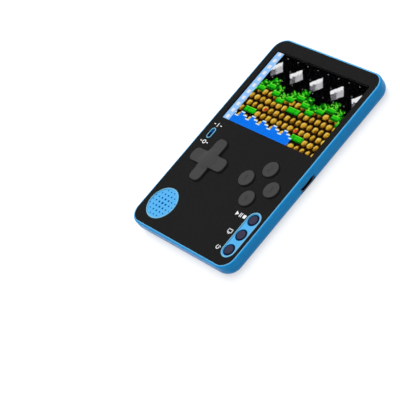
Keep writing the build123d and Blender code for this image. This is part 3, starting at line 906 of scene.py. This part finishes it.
@dataclass
class Display:
    """The window, the display module and the lit picture on it."""

    console: Console
    cell: float = 0.25 * MM
    border: float = 0.35 * MM
    thickness: float = 0.03 * MM
    lift: float = 0.01 * MM
    brightness: float = 1.0
    upward: float = 0.5

    def build(self) -> None:
        """Dress the display's nodes and add the lit picture."""
        self.console.dress(WINDOW_CLEAR, "screen_window")
        self.console.dress(GLASS_DARK, "lcd_glass")
        self.console.dress(FRAME_WHITE, "lcd_backlight")
        self.console.dress(FOAM_BLACK, "lcd_gasket")
        self.console.dress(FILM_AMBER, "lcd_ribbon")
        self.console.dress(SOCKET_IVORY, "lcd_socket", "battery_socket")
        self._add_picture()

    def _add_picture(self) -> None:
        """Add the lit picture as a thin slab of small square cells under the window."""
        low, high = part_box("screen_window")
        glass_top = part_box("lcd_glass")[1].z
        width = high.x - low.x - 2 * self.border
        height = high.y - low.y - 2 * self.border
        scenery = Scenery(round(width / self.cell), round(height / self.cell))
        top = glass_top + self.lift + self.thickness
        deselect_all()
        bpy.ops.mesh.primitive_grid_add(
            x_subdivisions=scenery.columns, y_subdivisions=scenery.rows, size=1
        )
        piece = bpy.context.object
        piece.scale = (width, height, 1)
        piece.location = ((low.x + high.x) / 2, (low.y + high.y) / 2, top)
        settle(piece, "screen_picture")
        bpy.ops.object.mode_set(mode="EDIT")
        bpy.ops.mesh.select_all(action="DESELECT")
        bpy.ops.mesh.select_non_manifold()
        bpy.ops.mesh.extrude_region_move(
            TRANSFORM_OT_translate={"value": (0, 0, -self.thickness)}
        )
        bpy.ops.mesh.edge_face_add()
        bpy.ops.mesh.select_all(action="SELECT")
        bpy.ops.mesh.normals_make_consistent(inside=False)
        bpy.ops.object.mode_set(mode="OBJECT")
        self._paint(piece, scenery, low.x + self.border, high.y - self.border)
        piece.data.materials.append(self._lit_material())
        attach(piece, "housing")
        LOG.info("placed %s with %d by %d cells", piece.name, scenery.columns, scenery.rows)

    def _paint(
        self, piece: bpy.types.Object, scenery: Scenery, left: float, top: float
    ) -> None:
        """Store each cell's colour on the mesh.

        Args:
            piece: the picture's mesh.
            scenery: the picture's design.
            left: where the picture starts along X.
            top: where it starts along Y, at its upper edge.
        """
        palette = {motif: (*linear(*motif.value), 1.0) for motif in Motif}
        layer = piece.data.color_attributes.new("picture", "FLOAT_COLOR", "CORNER")
        values = []
        for face in piece.data.polygons:
            colour = palette[Motif.NIGHT]
            if face.normal.z > self.upward:
                column = int((face.center.x - left) / self.cell)
                row = int((top - face.center.y) / self.cell)
                column = min(scenery.columns - 1, max(0, column))
                row = min(scenery.rows - 1, max(0, row))
                colour = palette[scenery.motif(column, row)]
            values.extend(colour * face.loop_total)
        layer.data.foreach_set("color", values)

    def _lit_material(self) -> bpy.types.Material:
        """Make the lit picture's material, which reads the colours stored on the mesh.

        Returns:
            The material.
        """
        material = bpy.data.materials.new("lit_picture")
        material.use_nodes = True
        nodes, link = material.node_tree.nodes, material.node_tree.links.new
        shader = nodes["Principled BSDF"]
        shader.inputs["Base Color"].default_value = (0.0, 0.0, 0.0, 1.0)
        shader.inputs["Roughness"].default_value = 0.4
        shader.inputs["Specular IOR Level"].default_value = 0.0
        shader.inputs["Emission Strength"].default_value = self.brightness
        picture = nodes.new("ShaderNodeVertexColor")
        picture.layer_name = "picture"
        link(picture.outputs["Color"], shader.inputs["Emission Color"])
        return material


@dataclass
class Controls:
    """The cross pad, the action buttons, the menu buttons and the power switch."""

    console: Console
    face_sides: tuple[str, ...] = ("left", "top", "right", "bottom")
    menu_sides: tuple[str, ...] = ("top", "middle", "bottom")

    def build(self) -> None:
        """Dress the controls and the rubber under them."""
        self.console.dress(PAD_BLACK, "d_pad")
        self.console.dress(FRAME_WHITE, "d_pad_pivot")
        self.console.dress(BUTTON_BLACK, *[f"face_button_{side}" for side in self.face_sides])
        self.console.dress(BUTTON_PURPLE, *[f"menu_button_{side}" for side in self.menu_sides])
        self.console.dress(KNOB_NAVY, "power_switch_knob")
        self.console.dress(PORT_METAL, "power_switch_body")
        self.console.dress(SILICONE, "d_pad_rubber", "face_pad", "menu_pad")
        self.console.dress(SILICONE, *[f"face_key_{side}" for side in self.face_sides])
        self.console.dress(SILICONE, *[f"menu_key_{side}" for side in self.menu_sides])


@dataclass
class PanelPrint:
    """The generic marks printed beside the switch and the menu buttons."""

    console: Console
    thickness: float = 0.02 * MM
    stroke: float = 0.36 * MM
    height: float = 1.7 * MM
    flank_length: float = 0.8 * MM
    flank_reach: float = 1.7 * MM
    switch_up: float = 3.9 * MM
    switch_down: float = 4.05 * MM
    menu_gap: float = 3.05 * MM
    start_drop: float = 0.3 * MM
    play_reach: float = 5.5 * MM
    pause_reaches: tuple[float, float] = (3.8 * MM, 3.1 * MM)
    stop_reach: float = 1.5 * MM
    screen_drop: float = 0.6 * MM
    screen_reach: float = 2.5 * MM
    screen_width: float = 2.2 * MM
    screen_side: float = 1.0 * MM
    screen_foot: float = 1.1 * MM
    reset_drop: float = 0.9 * MM
    reset_reach: float = 2.2 * MM
    reset_gap: float = 70.0

    def build(self) -> None:
        """Make the marks on the panel's face."""
        pad = Pad(self.thickness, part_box("front_panel")[1].z)
        self._print_mark("switch_marks", self._switch_marks(pad))
        self._print_mark("start_mark", self._start_mark(pad))
        self._print_mark("picture_mark", self._screen_mark(pad))
        self._print_mark("reset_mark", self._reset_mark(pad))

    def _print_mark(self, name: str, shapes: list[bpy.types.Object]) -> None:
        """Join the shapes of one mark and print it in white.

        Args:
            name: the mark's name.
            shapes: the shapes that it is made of.
        """
        self.console.place(join_pieces(shapes, name), PRINT_WHITE, "housing", "white_frame")

    def _switch_marks(self, pad: Pad) -> list[bpy.types.Object]:
        """Make the line and the ring at the two ends of the switch.

        Args:
            pad: the maker of flat shapes on the panel.

        Returns:
            The shapes.
        """
        spot = middle("power_switch_body")
        upper = spot.y + self.switch_up
        lower = spot.y - self.switch_down
        shapes = [
            pad.bar(spot.x, upper, self.stroke, self.height),
            pad.ring(spot.x, lower, self.height / 2, self.stroke * 0.9),
        ]
        for y in (upper, lower):
            for side in (-1, 1):
                x = spot.x + side * self.flank_reach
                shapes.append(pad.bar(x, y, self.flank_length, self.stroke))
        return shapes

    def _start_mark(self, pad: Pad) -> list[bpy.types.Object]:
        """Make the signs for play, pause and stop beside the top menu button.

        Args:
            pad: the maker of flat shapes on the panel.

        Returns:
            The shapes.
        """
        spot = middle("menu_button_top")
        edge = spot.x - self.menu_gap
        y = spot.y - self.start_drop
        square = self.height * 0.8
        return [
            pad.polygon(edge - self.play_reach, y, self.height / 2 * 1.15, 3, -90.0),
            *[pad.bar(edge - reach, y, self.stroke, self.height) for reach in self.pause_reaches],
            pad.bar(edge - self.stop_reach, y, square, square),
        ]

    def _screen_mark(self, pad: Pad) -> list[bpy.types.Object]:
        """Make the outline of a small screen on a foot beside the middle menu button.

        Args:
            pad: the maker of flat shapes on the panel.

        Returns:
            The shapes.
        """
        spot = middle("menu_button_middle")
        x = spot.x - self.menu_gap - self.screen_reach
        y = spot.y - self.screen_drop
        half = self.height / 2
        thin = self.stroke * 0.7
        return [
            pad.bar(x, y + half * 0.9, self.screen_width, thin),
            pad.bar(x, y - half * 0.6, self.screen_width, thin),
            pad.bar(x - self.screen_side, y + half * 0.15, thin, half * 1.6),
            pad.bar(x + self.screen_side, y + half * 0.15, thin, half * 1.6),
            pad.bar(x, y - half * 1.05, self.screen_foot, thin),
        ]

    def _reset_mark(self, pad: Pad) -> list[bpy.types.Object]:
        """Make the turning arrow beside the bottom menu button.

        Args:
            pad: the maker of flat shapes on the panel.

        Returns:
            The shapes.
        """
        spot = middle("menu_button_bottom")
        x = spot.x - self.menu_gap - self.reset_reach
        y = spot.y - self.reset_drop
        half = self.height / 2
        return [
            pad.ring(x, y, half, self.stroke * 0.8, self.reset_gap),
            pad.polygon(x + half * 0.8, y + half * 0.35, half * 0.75, 3, 150.0),
        ]


@dataclass
class ChargingPort:
    """The metal port in the side and the contacts on its tongue."""

    console: Console
    contact_count: int = 5
    contact_pitch: float = 0.65 * MM
    contact_width: float = 0.35 * MM
    contact_length: float = 2.6 * MM
    contact_thickness: float = 0.05 * MM
    contact_inset: float = 0.2 * MM
    tongue_thickness: float = 0.45 * MM

    def build(self) -> None:
        """Dress the port and lay the contacts on its tongue."""
        self.console.dress(PORT_METAL, "usb_connector")
        self.console.dress(EPOXY_BLACK, "usb_insulator")
        low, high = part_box("usb_insulator")
        level = (low.z + high.z) / 2 - self.tongue_thickness / 2 - self.contact_thickness
        pad = Pad(self.contact_thickness, level)
        x = high.x - self.contact_length / 2 - self.contact_inset
        strips = []
        for step in range(self.contact_count):
            aside = (step - (self.contact_count - 1) / 2) * self.contact_pitch
            y = (low.y + high.y) / 2 + aside
            strips.append(pad.bar(x, y, self.contact_length, self.contact_width))
        contacts = join_pieces(strips, "port_contacts")
        self.console.place(contacts, PORT_GOLD, "housing", "bright_metal")


@dataclass
class Electronics:
    """The board, the battery, the loudspeaker and their wires."""

    console: Console

    def build(self) -> None:
        """Dress the nodes inside the housing."""
        self.console.dress(BOARD_GREEN, "main_board")
        self.console.dress(EPOXY_BLACK, "processor", "flash_memory")
        self.console.dress(STEEL, "crystal", "speaker_basket")
        self.console.dress(BATTERY_FOIL, "battery")
        self.console.dress(WIRE_RED, "battery_leads", "speaker_leads")
        self.console.dress(CONE_FILM, "speaker_cone")
        self.console.dress(MESH_CLOTH, "speaker_mesh")


# The studio


@dataclass(frozen=True)
class Softbox:
    """One rectangular studio light, of which glossy surfaces show a mirror image or not."""

    name: str
    position: Point
    target: Point
    size: tuple[float, float]
    power: float
    mirrored: bool = True

    def hang(self) -> None:
        """Add the light to the scene, facing its target."""
        data = bpy.data.lights.new(self.name, "AREA")
        data.shape = "RECTANGLE"
        data.size, data.size_y = self.size
        data.energy = self.power
        lamp = bpy.data.objects.new(self.name, data)
        lamp.location = self.position
        lamp.visible_glossy = self.mirrored
        lamp.visible_transmission = False
        aim = Vector(self.target) - Vector(self.position)
        lamp.rotation_euler = aim.to_track_quat("-Z", "Y").to_euler()
        bpy.context.scene.collection.objects.link(lamp)
        LOG.info("hung %s", self.name)


@dataclass
class Studio:
    """The floor, the lights, the surroundings and the camera.

    Attributes:
        floor_drop: how far the floor lies below the console, so that the two never coincide.
        floor_lift: light added where the floor is seen, which sheds none on the console.
        sky: brightness of the surroundings.
        camera_roll: the camera's turn about the line of sight, in degrees.
        camera_lens: its focal length in millimetres.
    """

    floor_size: float = 6.0
    floor_drop: float = 0.02 * MM
    floor_colour: Colour = linear(188, 188, 188)
    floor_lift: float = 0.64
    sky: float = 0.27
    camera_position: Point = (0.42569, -0.14140, 0.38477)
    camera_target: Point = (-0.00448, -0.02596, 0.0061)
    camera_roll: float = -39.985
    camera_lens: float = 151.5
    lights: tuple[Softbox, ...] = (
        Softbox("key_softbox", (-0.090, 0.075, 1.094), (0.0, 0.0, 0.0), (1.0, 1.0), 8.0),
        Softbox(
            "back_softbox", (-0.860, 0.380, 0.620), (0.0, 0.0, 0.0), (0.9, 0.3), 9.4,
            mirrored=False,
        ),
    )

    def build(self) -> None:
        """Set up everything around the console."""
        self._floor()
        self._surroundings()
        for light in self.lights:
            light.hang()
        self._camera()
        bpy.context.scene.view_settings.view_transform = "Standard"

    def _floor(self) -> None:
        """Lay the pale floor under the console."""
        deselect_all()
        bpy.ops.mesh.primitive_plane_add(size=self.floor_size, location=(0, 0, -self.floor_drop))
        floor = bpy.context.object
        settle(floor, "floor")
        material = bpy.data.materials.new("floor_paper")
        material.use_nodes = True
        shader = material.node_tree.nodes["Principled BSDF"]
        shader.inputs["Base Color"].default_value = (*self.floor_colour, 1.0)
        shader.inputs["Roughness"].default_value = 0.9
        shader.inputs["Specular IOR Level"].default_value = 0.1
        shader.inputs["Emission Color"].default_value = (1.0, 1.0, 1.0, 1.0)
        seen = self._seen_directly(material.node_tree)
        lift = material.node_tree.nodes.new("ShaderNodeMath")
        lift.operation = "MULTIPLY"
        lift.inputs[1].default_value = self.floor_lift
        material.node_tree.links.new(seen, lift.inputs[0])
        material.node_tree.links.new(lift.outputs["Value"], shader.inputs["Emission Strength"])
        floor.data.materials.append(material)

    @staticmethod
    def _seen_directly(tree: bpy.types.NodeTree) -> bpy.types.NodeSocket:
        """Add a mask of what the camera sees directly, in a gloss or through glass.

        Args:
            tree: the node tree of the material that needs the mask.

        Returns:
            The socket with the mask, which is 1 for such rays.
        """
        path = tree.nodes.new("ShaderNodeLightPath")
        mask = path.outputs["Is Camera Ray"]
        for ray in ("Is Glossy Ray", "Is Transmission Ray"):
            either = tree.nodes.new("ShaderNodeMath")
            either.operation = "MAXIMUM"
            tree.links.new(mask, either.inputs[0])
            tree.links.new(path.outputs[ray], either.inputs[1])
            mask = either.outputs["Value"]
        return mask

    def _surroundings(self) -> None:
        """Fill the space around the scene with an even grey light."""
        world = bpy.data.worlds.new("studio_air")
        world.use_nodes = True
        background = world.node_tree.nodes["Background"]
        background.inputs["Color"].default_value = (self.sky, self.sky, self.sky, 1.0)
        background.inputs["Strength"].default_value = 1.0
        bpy.context.scene.world = world

    def _camera(self) -> None:
        """Place the camera where the photograph was taken from."""
        data = bpy.data.cameras.new("camera")
        data.sensor_width = 36.0
        data.lens = self.camera_lens
        data.clip_start = 0.01
        data.clip_end = 20.0
        camera = bpy.data.objects.new("camera", data)
        aim = Vector(self.camera_target) - Vector(self.camera_position)
        turn = aim.to_track_quat("-Z", "Y").to_matrix().to_4x4()
        roll = Matrix.Rotation(math.radians(self.camera_roll), 4, "Z")
        camera.matrix_world = Matrix.Translation(self.camera_position) @ turn @ roll
        bpy.context.scene.collection.objects.link(camera)
        bpy.context.scene.camera = camera


def main(frame: dict) -> None:
    """Build the console's looks and the studio around it.

    Args:
        frame: the loaded CAD frame.
    """
    console = Console(frame["nodes"], ShaderGroups())
    parts = (
        Housing(console),
        Display(console),
        Controls(console),
        PanelPrint(console),
        ChargingPort(console),
        Electronics(console),
    )
    for part in parts:
        part.build()
        LOG.info("built %s", type(part).__name__)
    Studio().build()


if __name__ == "__main__":
    logging.basicConfig(level=logging.INFO)
    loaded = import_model()
    main(loaded)
